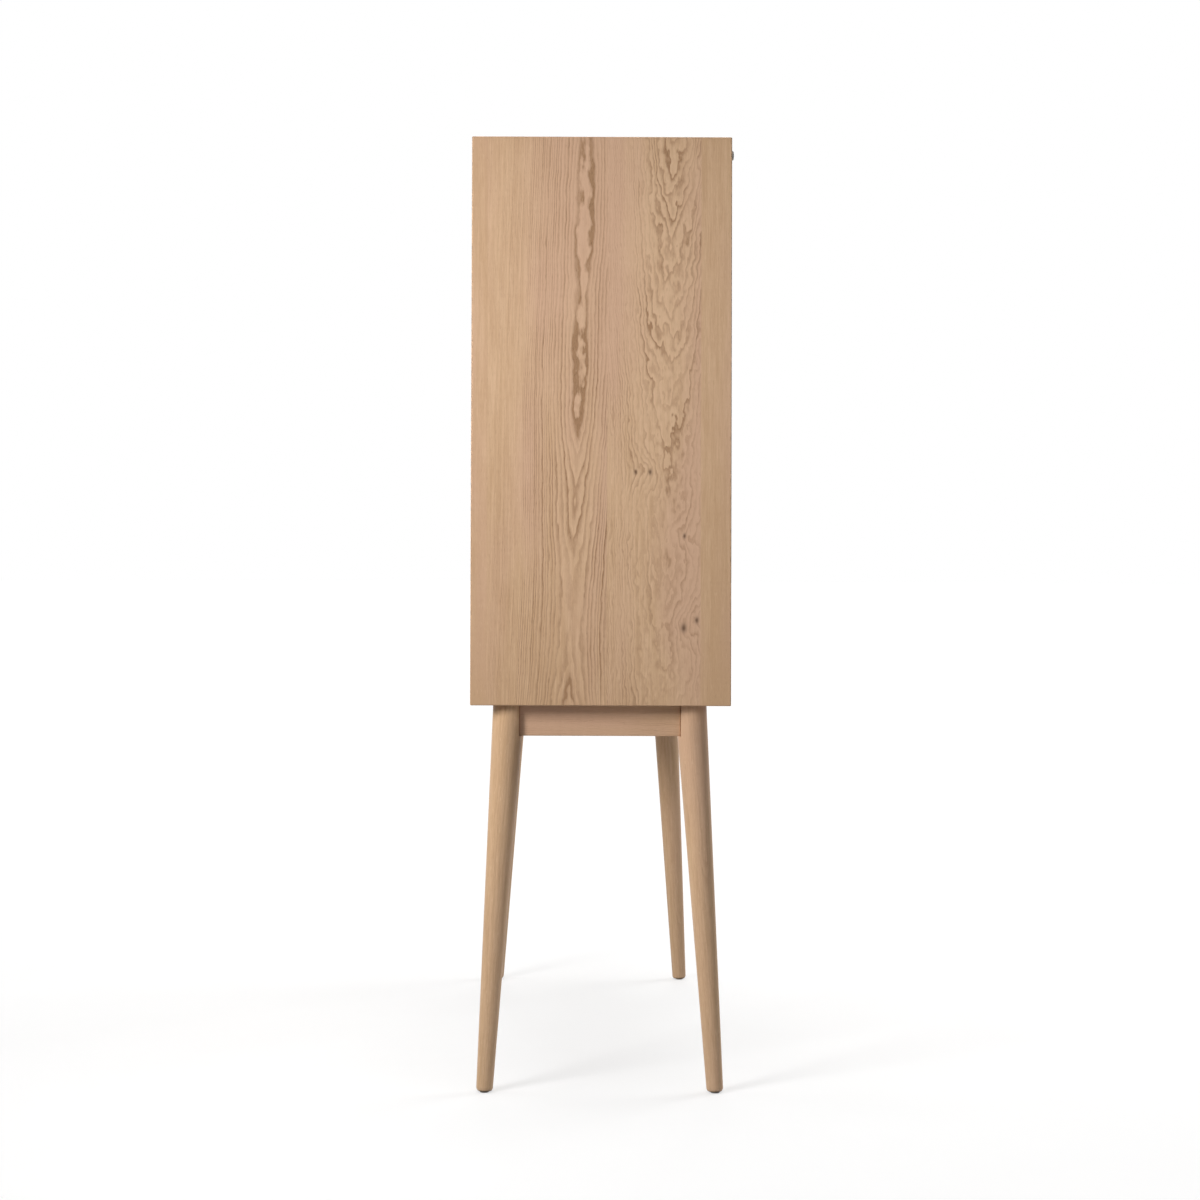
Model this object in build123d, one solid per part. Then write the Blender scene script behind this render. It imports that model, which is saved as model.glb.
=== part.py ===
"""Pantry cabinet on a splayed oak leg frame: two hinged doors over one wide drawer.

Frame: millimetres, +Z up from the floor, +X to the right of someone facing the doors, the
doors on the -Y side.  The origin is under the middle of the whole object, on the floor.
Every separate piece is written to its own file in parts/.
"""

import os

from build123d import *

# ---------------------------------------------------------------- driving dimensions
WIDTH = 900.0            # carcass, side to side
DEPTH = 400.0            # carcass, front edge to rear edge
BOX_HEIGHT = 874.0       # carcass alone
LEG_HEIGHT = 586.0       # floor to the underside of the carcass
BOARD = 20.0             # carcass and front thickness
ARRIS = 1.5              # rounding of the carcass's outer edges

SETBACK = 6.0            # doors and drawer front sit this far inside the front edges
GAP = 2.5                # gap round the drawer front and over the doors
MEETING_GAP = 3.0        # between the two doors
GRIP_CHANNEL = 22.0      # finger channel between the doors and the drawer front
GRIP_DEPTH = 16.0        # finger room behind the fronts, ahead of the fixed shelf
DRAWER_FRONT_HEIGHT = 160.0

BACK_THICKNESS = 6.0
BACK_INSET = 10.0        # rear face of the back panel ahead of the rear edges
BACK_GROOVE = 8.0        # depth of the groove that holds the back panel
BACK_PLAY = 0.5          # room at the back panel's edges, for wood movement

BUMPER_HEIGHT = 3.0      # how far the wall bumpers stand out behind
BUMPER_RADIUS = 7.5
BUMPER_DROP = 27.0       # bumper centre below the top

LEG_TOP_RADIUS = 24.5
LEG_FOOT_RADIUS = 12.6
LEG_INSET_X = 47.0       # leg axis in from the side, at the top
LEG_INSET_Y = 59.0       # leg axis in from the front or rear edge, at the top
SPLAY_X = 60.0           # how far a foot stands outside its leg's top, sideways
SPLAY_Y = 34.5           # the same, front to back
FOOT_ROUND = 7.5
GLIDE_RADIUS = 7.0
GLIDE_HEIGHT = 2.5

APRON_HEIGHT = 49.0
APRON_THICKNESS = 20.0
APRON_CHAMFER = 1.0      # on the upright end edges, which leaves a fine groove at each leg
FLAT_X = 15.0            # planed flat on a leg, from its axis at the top, for a long apron
FLAT_Y = 16.0            # the same for a side apron

HINGE_HEIGHT = 50.0
HINGE_END = 80.0         # hinge centre to the end of the door
KNUCKLE_RADIUS = 3.0
PIN_RADIUS = 1.5
PIN_CLEARANCE = 0.05     # radial, in the knuckles that turn
LEAF = 1.2               # hinge leaf thickness
LEAF_WIDTH = 19.2        # from the pin's axis
LEAF_GAP = 0.8           # between the closed leaves
AXIS_AHEAD = 3.2         # pin's axis ahead of the door's front face

SLIDE_LENGTH = 300.0
SLIDE_HEIGHT = 45.0
SLIDE_ROOM = 13.0        # between the carcass side and the drawer side
SHEET = 1.2              # slide sheet thickness
DRAWER_BOARD = 12.0
DRAWER_BOX_DEPTH = 330.0
DRAWER_BOX_HEIGHT = 120.0
DRAWER_BOTTOM = 6.0

SHELF = 18.0
SHELF_HEIGHTS = (1006.0, 1222.0)   # undersides of the two loose shelves
PIN_ROW_STEP = 32.0                # spacing of the shelf pin holes
PIN_ROW_HOLES = 5                  # holes in a row, the middle one in use

# ---------------------------------------------------------------- worked out from them
FRONT_Y = -(DEPTH + BUMPER_HEIGHT) / 2
REAR_Y = FRONT_Y + DEPTH
MID_Y = (FRONT_Y + REAR_Y) / 2
BOTTOM_Z = LEG_HEIGHT
TOP_Z = LEG_HEIGHT + BOX_HEIGHT
HALF_WIDTH = WIDTH / 2
INNER_X = HALF_WIDTH - BOARD
FLOOR_Z = BOTTOM_Z + BOARD
CEILING_Z = TOP_Z - BOARD
FACE_Y = FRONT_Y + SETBACK             # front face of the doors and drawer
BEHIND_FRONTS_Y = FACE_Y + BOARD
BACK_FRONT_Y = REAR_Y - BACK_INSET - BACK_THICKNESS

DRAWER_FRONT_TOP = FLOOR_Z + GAP + DRAWER_FRONT_HEIGHT
DOOR_BOTTOM = DRAWER_FRONT_TOP + GRIP_CHANNEL
DOOR_TOP = CEILING_Z - GAP
FIXED_SHELF_Z = DRAWER_FRONT_TOP + (GRIP_CHANNEL - BOARD) / 2
FIXED_SHELF_Y = BEHIND_FRONTS_Y + GRIP_DEPTH

AXIS_U = LEAF + LEAF_GAP / 2           # pin's axis in from the carcass side's inner face
HINGE_GAP = 2 * AXIS_U - LEAF_GAP      # carcass side to the door's edge
DOOR_EDGE_X = INNER_X - HINGE_GAP
HINGE_X = INNER_X - AXIS_U
HINGE_Y = FACE_Y - AXIS_AHEAD
HINGE_ZS = {"lower": DOOR_BOTTOM + HINGE_END, "upper": DOOR_TOP - HINGE_END}

LEG_X = HALF_WIDTH - LEG_INSET_X
LEG_Y = DEPTH / 2 - LEG_INSET_Y
APRON_Z = LEG_HEIGHT - APRON_HEIGHT

BOX_HALF = INNER_X - SLIDE_ROOM        # half of the drawer box's outer width
BOX_FRONT_Y = BEHIND_FRONTS_Y
BOX_REAR_Y = BOX_FRONT_Y + DRAWER_BOX_DEPTH
BOX_Z = FLOOR_Z + 12.0
SLIDE_Z = BOX_Z + DRAWER_BOX_HEIGHT / 2
SLIDE_Y = FIXED_SHELF_Y + 2.0

SIDES = {"left": -1, "right": 1}
ENDS = {"front": -1, "back": 1}


# ---------------------------------------------------------------- small helpers
def block(x0, x1, y0, y1, z0, z1):
    """A box between two corners, given in any order."""
    size = (abs(x1 - x0), abs(y1 - y0), abs(z1 - z0))
    return Pos((x0 + x1) / 2, (y0 + y1) / 2, (z0 + z1) / 2) * Box(*size)


def rod(start, direction, radius, length):
    """A plain round bar from a point, along a direction."""
    plane = Plane(origin=start, z_dir=direction)
    return plane * Cylinder(radius, length, align=(Align.CENTER, Align.CENTER, Align.MIN))


def countersunk_screw(start, direction, length=14.0, shank=1.5, head=2.6, head_depth=1.4):
    """A flush screw: start is the middle of its head's face, and it points along direction."""
    plane = Plane(origin=start, z_dir=direction)
    profile = Polyline((0, 0), (head, 0), (shank, head_depth), (shank, length), (0, length), close=True)
    return plane * revolve(Plane.XZ * make_face(profile), Axis.Z)


def pan_screw(start, direction, length, shank=2.0, head=4.0, head_height=2.4):
    """A round-headed screw: start is under its head, and the shank points along direction."""
    shaft = rod(start, direction, shank, length)
    back = tuple(-c for c in direction)
    return shaft + rod(start, back, head, head_height)


def cross_recessed(screws, depth=0.8, slot=0.7):
    """The screws with a cross cut into the face of each head."""
    finished = []
    for screw in screws:
        head = max(screw.faces().filter_by(GeomType.PLANE), key=lambda face: face.area)
        reach = 1.3 * (head.area / 3.1416) ** 0.5
        bars = [
            Plane(head) * Pos(0, 0, -depth / 2) * Rot(0, 0, turn) * Box(reach, slot, depth)
            for turn in (0, 90)
        ]
        finished.append(cut(screw, bars))
    return finished


def sorted_solids(shape):
    return sorted(shape.solids(), key=lambda s: tuple(round(c, 3) for c in s.center()))


def cut(piece, tools):
    """piece with every tool taken out of it."""
    for tool in tools:
        piece = piece - tool
    return piece


def prism_y(points, y0, y1):
    """A prism along Y from its outline in X and Z."""
    outline = Polyline(*[(x, z) for x, z in points], close=True)
    face = Plane(origin=(0, y0, 0), x_dir=(1, 0, 0), z_dir=(0, -1, 0)) * make_face(outline)
    return extrude(face, amount=y0 - y1)


def prism_z(points, z0, z1):
    """A prism along Z from its outline in X and Y."""
    outline = Polyline(*points, close=True)
    return extrude(Plane.XY.offset(z0) * make_face(outline), amount=z1 - z0)


# ---------------------------------------------------------------- fasteners and inner joints
def fixed_shelf_dowels():
    """Three beech dowels in each end of the fixed shelf."""
    z = FIXED_SHELF_Z + BOARD / 2
    ys = (FIXED_SHELF_Y + 40, MID_Y + 10, BACK_FRONT_Y - 40)
    return [rod((s * (INNER_X - 18), y, z), (s, 0, 0), 4.0, 30.0) for s in SIDES.values() for y in ys]


def mitre_splines():
    """A loose tongue across each mitred corner of the carcass."""
    across, thickness, from_inside = 16.0, 4.0, 7.1
    y0, y1 = FRONT_Y + 14, BACK_FRONT_Y - 8
    splines = []
    for s in SIDES.values():
        for z_corner, up in ((CEILING_Z, 1), (FLOOR_Z, -1)):
            x, z = s * (INNER_X + from_inside), z_corner + up * from_inside
            tongue = Box(across, y1 - y0, thickness)
            splines.append(Pos(x, (y0 + y1) / 2, z) * Rot(0, 45 * s * up, 0) * tongue)
    return splines


def hinge_leaf_screws(s, z, on_door):
    """The three screws of one hinge leaf."""
    direction = (-s, 0, 0) if on_door else (s, 0, 0)
    inwards = LEAF + LEAF_GAP if on_door else LEAF
    x = s * (INNER_X - inwards)
    return [
        countersunk_screw((x, HINGE_Y + 12.2 - 2.4 * (k == 0), z + 17 * k), direction)
        for k in (-1, 0, 1)
    ]


def catch_place(s):
    """Middle of one magnetic catch, across the cabinet."""
    return s * 40.0


def catch_screws(s):
    x, y = catch_place(s), BEHIND_FRONTS_Y + 8.0
    return [
        countersunk_screw((x + dx, y, CEILING_Z - 3.0), (0, 0, 1), length=14.0)
        for dx in (-18.0, 18.0)
    ]


def strike_screws(s):
    x, z = catch_place(s), DOOR_TOP - 7.5
    return [
        countersunk_screw((x + dx, BEHIND_FRONTS_Y + LEAF, z), (0, -1, 0))
        for dx in (-14.0, 14.0)
    ]


def cabinet_rail_screws(s):
    return [
        countersunk_screw((s * (INNER_X - SHEET), SLIDE_Y + dy, SLIDE_Z), (s, 0, 0))
        for dy in (30.0, 150.0, 270.0)
    ]


def drawer_rail_screws(s):
    x = s * (BOX_HALF + SHEET)
    return [
        countersunk_screw((x, SLIDE_Y + dy, SLIDE_Z), (-s, 0, 0), length=10.0)
        for dy in (30.0, 150.0, 270.0)
    ]


def drawer_front_screws():
    """Four screws from inside the drawer box into its face."""
    y = BOX_FRONT_Y + DRAWER_BOARD
    return [
        pan_screw((x, y, z), (0, -1, 0), DRAWER_BOARD + 14.0)
        for x in (-300.0, 300.0)
        for z in (BOX_Z + 35.0, BOX_Z + 90.0)
    ]


BRACKET_LENGTH, BRACKET_FLANGE, BRACKET_SHEET = 64.0, 22.0, 2.0
WALL_HOLE_RADIUS, WALL_HOLE_SPACING = 2.75, 40.0
WALL_HOLE_Z = CEILING_Z - 13.0


def bracket_screws():
    y = BACK_FRONT_Y - 13.0
    return [
        countersunk_screw((x, y, CEILING_Z - BRACKET_SHEET), (0, 0, 1))
        for x in (-20.0, 20.0)
    ]


def frame_bolts():
    """Bolts up through the corner blocks into the carcass bottom."""
    return [
        pan_screw((x, y, APRON_Z + 22.0), (0, 0, 1), 44.0, shank=3.0, head=5.0, head_height=4.0)
        for x, y in corner_block_centres()
    ]


def shelf_pins():
    """Steel pins: a shank in the side's hole and a thicker shoulder under the shelf."""
    pins = []
    for z in SHELF_HEIGHTS:
        for s in SIDES.values():
            for y in pin_columns():
                shank = rod((s * INNER_X, y, z - 3.5), (s, 0, 0), 2.5, 9.0)
                pins.append(shank + rod((s * INNER_X, y, z - 3.5), (-s, 0, 0), 3.5, 9.0))
    return pins


def pin_columns():
    return (FRONT_Y + 74.0, BACK_FRONT_Y - 50.0)


def pin_holes(s):
    holes = []
    for z in SHELF_HEIGHTS:
        for k in range(-(PIN_ROW_HOLES // 2), PIN_ROW_HOLES // 2 + 1):
            for y in pin_columns():
                start = (s * INNER_X, y, z - 3.5 + k * PIN_ROW_STEP)
                holes.append(rod(start, (s, 0, 0), 2.5, 11.0))
    return holes


# ---------------------------------------------------------------- carcass
def mitred_ring():
    """The four outer boards as one ring, outer edges rounded, grooved for the back."""
    outer = block(-HALF_WIDTH, HALF_WIDTH, FRONT_Y, REAR_Y, BOTTOM_Z, TOP_Z)
    outer = fillet(outer.edges(), ARRIS)
    inner = block(-INNER_X, INNER_X, FRONT_Y - 1, REAR_Y + 1, FLOOR_Z, CEILING_Z)
    groove = block(
        -INNER_X - BACK_GROOVE, INNER_X + BACK_GROOVE,
        BACK_FRONT_Y, BACK_FRONT_Y + BACK_THICKNESS,
        FLOOR_Z - BACK_GROOVE, CEILING_Z + BACK_GROOVE,
    )
    return outer - inner - groove


def mitre_wedge(name):
    """The space that one board takes, bounded by the 45 degree mitre planes."""
    out = BOARD + 10.0
    x, z0, z1 = INNER_X, FLOOR_Z, CEILING_Z
    wedges = {
        "left": [(-x, z0), (-x - out, z0 - out), (-x - out, z1 + out), (-x, z1)],
        "right": [(x, z0), (x + out, z0 - out), (x + out, z1 + out), (x, z1)],
        "top": [(-x, z1), (x, z1), (x + out, z1 + out), (-x - out, z1 + out)],
        "bottom": [(-x, z0), (x, z0), (x + out, z0 - out), (-x - out, z0 - out)],
    }
    return prism_y(wedges[name], FRONT_Y - 5, REAR_Y + 5)


def hinge_pocket(s, z):
    """Room for a hinge's knuckles in the front inner edge of a side."""
    return block(
        s * (INNER_X - 1), s * (INNER_X + 1.8),
        FRONT_Y - 1, FACE_Y + 0.4,
        z - HINGE_HEIGHT / 2 - 2, z + HINGE_HEIGHT / 2 + 2,
    )


def carcass(ring, splines, dowels):
    boards = {}
    for name, s in SIDES.items():
        tools = [hinge_pocket(s, z) for z in HINGE_ZS.values()]
        tools += pin_holes(s) + splines + dowels + cabinet_rail_screws(s)
        for z in HINGE_ZS.values():
            tools += hinge_leaf_screws(s, z, on_door=False)
        boards["side_panel_" + name] = cut(ring & mitre_wedge(name), tools)
    top_tools = splines + bracket_screws()
    for s in SIDES.values():
        top_tools += catch_screws(s)
    boards["top_panel"] = cut(ring & mitre_wedge("top"), top_tools)
    boards["bottom_panel"] = cut(ring & mitre_wedge("bottom"), splines + frame_bolts())
    return boards


def back_panel():
    """Veneered back in the carcass groove, with clearance holes for the wall screws."""
    reach = BACK_GROOVE - BACK_PLAY
    panel = block(
        -INNER_X - reach, INNER_X + reach,
        BACK_FRONT_Y, BACK_FRONT_Y + BACK_THICKNESS,
        FLOOR_Z - reach, CEILING_Z + reach,
    )
    holes = [rod((x, BACK_FRONT_Y - 5, WALL_HOLE_Z), (0, 1, 0), 4.0, 20.0) for x in wall_hole_xs()]
    return cut(panel, holes)


def wall_hole_xs():
    return (-WALL_HOLE_SPACING / 2, WALL_HOLE_SPACING / 2)


def fixed_shelf(dowels):
    board = block(
        -INNER_X, INNER_X, FIXED_SHELF_Y, BACK_FRONT_Y,
        FIXED_SHELF_Z, FIXED_SHELF_Z + BOARD,
    )
    return cut(board, dowels)


def loose_shelf(z):
    """A shelf that lies on four pins, its front edge just behind the doors."""
    board = block(
        -INNER_X + 1, INNER_X - 1,
        BEHIND_FRONTS_Y + 10, BACK_FRONT_Y - 1, z, z + SHELF,
    )
    front_edges = board.edges().filter_by(Axis.X).group_by(Axis.Y)[0]
    return fillet(front_edges, 1.0)


# ---------------------------------------------------------------- doors and hinges
def door(s):
    """One flush door, with its hinge leaves let into the edge."""
    x_edge, x_meet = s * DOOR_EDGE_X, s * MEETING_GAP / 2
    panel = block(x_edge, x_meet, FACE_Y, BEHIND_FRONTS_Y, DOOR_BOTTOM, DOOR_TOP)
    panel = fillet(panel.faces().sort_by(Axis.Y)[0].edges(), 1.0)
    tools = list(strike_screws(s))
    for z in HINGE_ZS.values():
        tools.append(
            block(
                x_edge + s, s * (HINGE_X - LEAF_GAP / 2 - LEAF),
                FACE_Y - 1, HINGE_Y + LEAF_WIDTH,
                z - HINGE_HEIGHT / 2, z + HINGE_HEIGHT / 2,
            )
        )
        tools += hinge_leaf_screws(s, z, on_door=True)
    return cut(panel, tools)


KNUCKLES = 5
KNUCKLE_PLAY = 0.1       # taken off each end of a knuckle


def hinge_leaf(s, z, on_door):
    """One leaf with its share of the knuckles: odd ones on the frame, even ones on the door."""
    sign = -s if on_door else s        # which side of the pin's axis the plate lies on
    plate_x0 = s * HINGE_X + sign * LEAF_GAP / 2
    plate_x1 = plate_x0 + sign * LEAF
    low, pitch = z - HINGE_HEIGHT / 2, HINGE_HEIGHT / KNUCKLES
    leaf = block(
        plate_x0, plate_x1,
        HINGE_Y + KNUCKLE_RADIUS + 0.4, HINGE_Y + LEAF_WIDTH,
        low, low + HINGE_HEIGHT,
    )
    for k in range(1 if on_door else 0, KNUCKLES, 2):
        z0 = low + k * pitch + KNUCKLE_PLAY
        z1 = low + (k + 1) * pitch - KNUCKLE_PLAY
        leaf = leaf + rod((s * HINGE_X, HINGE_Y, z0), (0, 0, 1), KNUCKLE_RADIUS, z1 - z0)
        leaf = leaf + block(plate_x0, plate_x1, HINGE_Y, HINGE_Y + KNUCKLE_RADIUS + 1, z0, z1)
    bore = PIN_RADIUS + (PIN_CLEARANCE if on_door else 0)
    tools = [rod((s * HINGE_X, HINGE_Y, low - 1), (0, 0, 1), bore, HINGE_HEIGHT + 2)]
    return cut(leaf, tools + hinge_leaf_screws(s, z, on_door))


def hinge_pin(s, z):
    """A pin with a small button at each end."""
    low = z - HINGE_HEIGHT / 2
    x, y = s * HINGE_X, HINGE_Y
    pin = rod((x, y, low), (0, 0, 1), PIN_RADIUS, HINGE_HEIGHT)
    button = 1.4
    pin = pin + rod((x, y, low - button + KNUCKLE_PLAY), (0, 0, 1), 2.2, button)
    return pin + rod((x, y, low + HINGE_HEIGHT - KNUCKLE_PLAY), (0, 0, 1), 2.2, button)


def catch_housing(s):
    """Plastic body of a magnetic catch under the carcass top, open in front for its magnet."""
    x, y = catch_place(s), BEHIND_FRONTS_Y
    flange = block(x - 24, x + 24, y + 2, y + 15, CEILING_Z - 3, CEILING_Z)
    body = block(x - 13, x + 13, y + 2, y + 15, CEILING_Z - 13, CEILING_Z - 3)
    return cut(flange + body, [magnet(s), *catch_screws(s)])


def magnet(s):
    x, y = catch_place(s), BEHIND_FRONTS_Y
    return block(x - 10, x + 10, y + LEAF + 0.2, y + 12, CEILING_Z - 11, CEILING_Z - 5)


def strike_plate(s):
    """Steel plate behind the door that the magnet holds."""
    x, y = catch_place(s), BEHIND_FRONTS_Y
    plate = block(x - 20, x + 20, y, y + LEAF, DOOR_TOP - 13.5, DOOR_TOP - 1.5)
    return cut(plate, strike_screws(s))


# ---------------------------------------------------------------- drawer
def finger_joint(side, z0, z1, count, thickness, x_outer, y_end, inwards):
    """Blocks of a finger joint at one corner of the drawer box, odd fingers first."""
    pitch = (z1 - z0) / count
    first, second = [], []
    for k in range(count):
        finger = block(
            x_outer, x_outer - side * thickness,
            y_end, y_end + inwards * thickness,
            z0 + k * pitch, z0 + (k + 1) * pitch,
        )
        (first if k % 2 == 0 else second).append(finger)
    return first, second


def drawer_box():
    """Two sides, an inner front and a back in finger joints, and a bottom let into grooves."""
    z0, z1 = BOX_Z, BOX_Z + DRAWER_BOX_HEIGHT
    t, count = DRAWER_BOARD, 7
    bottom_z = z0 + 10.0
    groove = 5.0
    inner = BOX_HALF - t
    bottom = block(
        -inner - groove, inner + groove,
        BOX_FRONT_Y + t - groove, BOX_REAR_Y - t + groove,
        bottom_z, bottom_z + DRAWER_BOTTOM,
    )
    front = block(-BOX_HALF, BOX_HALF, BOX_FRONT_Y, BOX_FRONT_Y + t, z0, z1)
    back = block(-BOX_HALF, BOX_HALF, BOX_REAR_Y - t, BOX_REAR_Y, z0, z1)
    sides = {}
    for name, s in SIDES.items():
        side = block(s * BOX_HALF, s * inner, BOX_FRONT_Y, BOX_REAR_Y, z0, z1)
        at_front = finger_joint(s, z0, z1, count, t, s * BOX_HALF, BOX_FRONT_Y, 1)
        at_back = finger_joint(s, z0, z1, count, t, s * BOX_HALF, BOX_REAR_Y, -1)
        side = cut(side, at_front[1] + at_back[1] + [bottom] + drawer_rail_screws(s))
        front = cut(front, at_front[0])
        back = cut(back, at_back[0])
        sides["drawer_side_" + name] = side
    return {
        "drawer_box_front": cut(front, [bottom, *drawer_front_screws()]),
        "drawer_box_back": cut(back, [bottom]),
        "drawer_bottom": bottom,
        **sides,
    }


def drawer_front():
    """The drawer's face board."""
    x = INNER_X - GAP
    panel = block(-x, x, FACE_Y, BEHIND_FRONTS_Y, FLOOR_Z + GAP, DRAWER_FRONT_TOP)
    panel = fillet(panel.faces().sort_by(Axis.Y)[0].edges(), 1.0)
    return cut(panel, drawer_front_screws())


def channel(s, x_web, x_open, half_height):
    """A C-shaped slide rail: its web at x_web, its flanges reaching to x_open."""
    inwards = 1 if x_open > x_web else -1
    y0, y1 = SLIDE_Y, SLIDE_Y + SLIDE_LENGTH
    web = block(
        s * x_web, s * (x_web + inwards * SHEET), y0, y1, SLIDE_Z - half_height, SLIDE_Z + half_height
    )
    for up in (-1, 1):
        edge = SLIDE_Z + up * half_height
        web = web + block(s * x_web, s * x_open, y0, y1, edge - up * SHEET, edge)
    return web


def slide(s):
    """One telescopic slide: cabinet rail, middle rail and drawer rail, nested."""
    half = SLIDE_HEIGHT / 2
    step = SHEET + 1.5
    return (
        cut(channel(s, INNER_X, INNER_X - 9.0, half), cabinet_rail_screws(s)),
        channel(s, INNER_X - 2.2, INNER_X - 11.0, half - step),
        cut(channel(s, BOX_HALF, BOX_HALF + 8.4, half - 2 * step), drawer_rail_screws(s)),
    )


# ---------------------------------------------------------------- leg frame
def leg_axis(sx, sy, z):
    """A point on a leg's axis at height z."""
    down = (LEG_HEIGHT - z) / LEG_HEIGHT
    return Vector(sx * (LEG_X + SPLAY_X * down), MID_Y + sy * (LEG_Y + SPLAY_Y * down), z)


def corner_of(sx, sy, dx, dy):
    """A point given by its distances inwards from a leg's top axis."""
    return (sx * (LEG_X - dx), MID_Y + sy * (LEG_Y - dy))


def corner_block_outline(sx, sy):
    half = APRON_THICKNESS / 2
    return [
        corner_of(sx, sy, half, 66), corner_of(sx, sy, half, 46),
        corner_of(sx, sy, 46, half), corner_of(sx, sy, 66, half),
    ]


def corner_block_centres():
    centres = []
    for sx in SIDES.values():
        for sy in ENDS.values():
            points = corner_block_outline(sx, sy)
            centres.append(tuple(sum(p[i] for p in points) / len(points) for i in (0, 1)))
    return centres


def corner_blocks(bolts):
    """Diagonal blocks glued into the apron frame, which carry the bolts."""
    return [
        cut(prism_z(corner_block_outline(sx, sy), APRON_Z + 22.0, LEG_HEIGHT), bolts)
        for sx in SIDES.values()
        for sy in ENDS.values()
    ]


def apron(direction, sign):
    """A rail between two legs, with a tenon on each end."""
    half, z0 = APRON_THICKNESS / 2, APRON_Z
    tenon_half, tenon_length, shoulder = 4.0, 10.0, 8.0
    if direction == "side":
        reach, at = LEG_Y - FLAT_Y, sign * LEG_X
        rail = block(at - half, at + half, MID_Y - reach, MID_Y + reach, z0, LEG_HEIGHT)
        end = reach + tenon_length
        tenon = block(
            at - tenon_half, at + tenon_half, MID_Y - end, MID_Y + end,
            z0 + shoulder, LEG_HEIGHT - shoulder,
        )
    else:
        reach, at = LEG_X - FLAT_X, MID_Y + sign * LEG_Y
        rail = block(-reach, reach, at - half, at + half, z0, LEG_HEIGHT)
        end = reach + tenon_length
        tenon = block(
            -end, end, at - tenon_half, at + tenon_half, z0 + shoulder, LEG_HEIGHT - shoulder
        )
    rail = chamfer(rail.edges().filter_by(Axis.Z), APRON_CHAMFER)
    along = Axis.Y if direction == "side" else Axis.X
    lower = rail.edges().group_by(Axis.Z)[0].filter_by(along)
    return fillet(lower, 0.8) + tenon


def glide(sx, sy):
    """A nylon disc under a foot, on a short nail."""
    foot = leg_axis(sx, sy, 0)
    disc = rod((foot.X, foot.Y, 0), (0, 0, 1), GLIDE_RADIUS, GLIDE_HEIGHT)
    disc = fillet(disc.edges().group_by(Axis.Z)[0], 0.6)
    return disc + rod((foot.X, foot.Y, GLIDE_HEIGHT), (0, 0, 1), 1.2, 14.0)


def leg(sx, sy, aprons):
    """A turned, tapered leg, splayed both ways, with flats and mortises for its aprons."""
    top, foot = leg_axis(sx, sy, LEG_HEIGHT), leg_axis(sx, sy, 0)
    up = (top - foot).normalized()
    length = (top - foot).length
    extra = 12.0                                  # turned longer, then sawn level at the top
    slope = (LEG_TOP_RADIUS - LEG_FOOT_RADIUS) / length
    top_radius = LEG_TOP_RADIUS + slope * extra
    profile = Polyline(
        (0, 0), (LEG_FOOT_RADIUS, 0), (top_radius, length + extra), (0, length + extra), close=True
    )
    turned = revolve(Plane.XZ * make_face(profile), Axis.Z)
    turned = fillet(turned.edges().group_by(Axis.Z)[0], FOOT_ROUND)
    turned = Plane(origin=foot, z_dir=up) * turned
    room = 60.0
    keep = block(
        foot.X - room - SPLAY_X, foot.X + room + SPLAY_X,
        foot.Y - room - SPLAY_Y, foot.Y + room + SPLAY_Y, GLIDE_HEIGHT, LEG_HEIGHT,
    )
    flat_x, flat_y = sx * (LEG_X - FLAT_X), MID_Y + sy * (LEG_Y - FLAT_Y)
    tools = [
        block(flat_x, flat_x - sx * room, top.Y - room, top.Y + room, APRON_Z, LEG_HEIGHT + 1),
        block(top.X - room, top.X + room, flat_y, flat_y - sy * room, APRON_Z, LEG_HEIGHT + 1),
        glide(sx, sy),
        *aprons,
    ]
    return cut(turned & keep, tools)


def wall_bumper(s):
    """A domed rubber bumper on the rear edge of a side."""
    x, z = s * (HALF_WIDTH - BOARD / 2), TOP_Z - BUMPER_DROP
    disc = rod((x, REAR_Y, z), (0, 1, 0), BUMPER_RADIUS, BUMPER_HEIGHT)
    return fillet(disc.edges().group_by(Axis.Y)[-1], 2.2)


def anti_tip_bracket():
    """A steel angle inside the top rear corner, for two screws through the back into a wall."""
    half = BRACKET_LENGTH / 2
    y0, z1 = BACK_FRONT_Y, CEILING_Z
    up = block(-half, half, y0 - BRACKET_FLANGE, y0, z1 - BRACKET_SHEET, z1)
    down = block(-half, half, y0 - BRACKET_SHEET, y0, z1 - BRACKET_FLANGE, z1)
    holes = [rod((x, y0 - 10, WALL_HOLE_Z), (0, 1, 0), WALL_HOLE_RADIUS, 20.0) for x in wall_hole_xs()]
    return cut(up + down, holes + bracket_screws())


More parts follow.
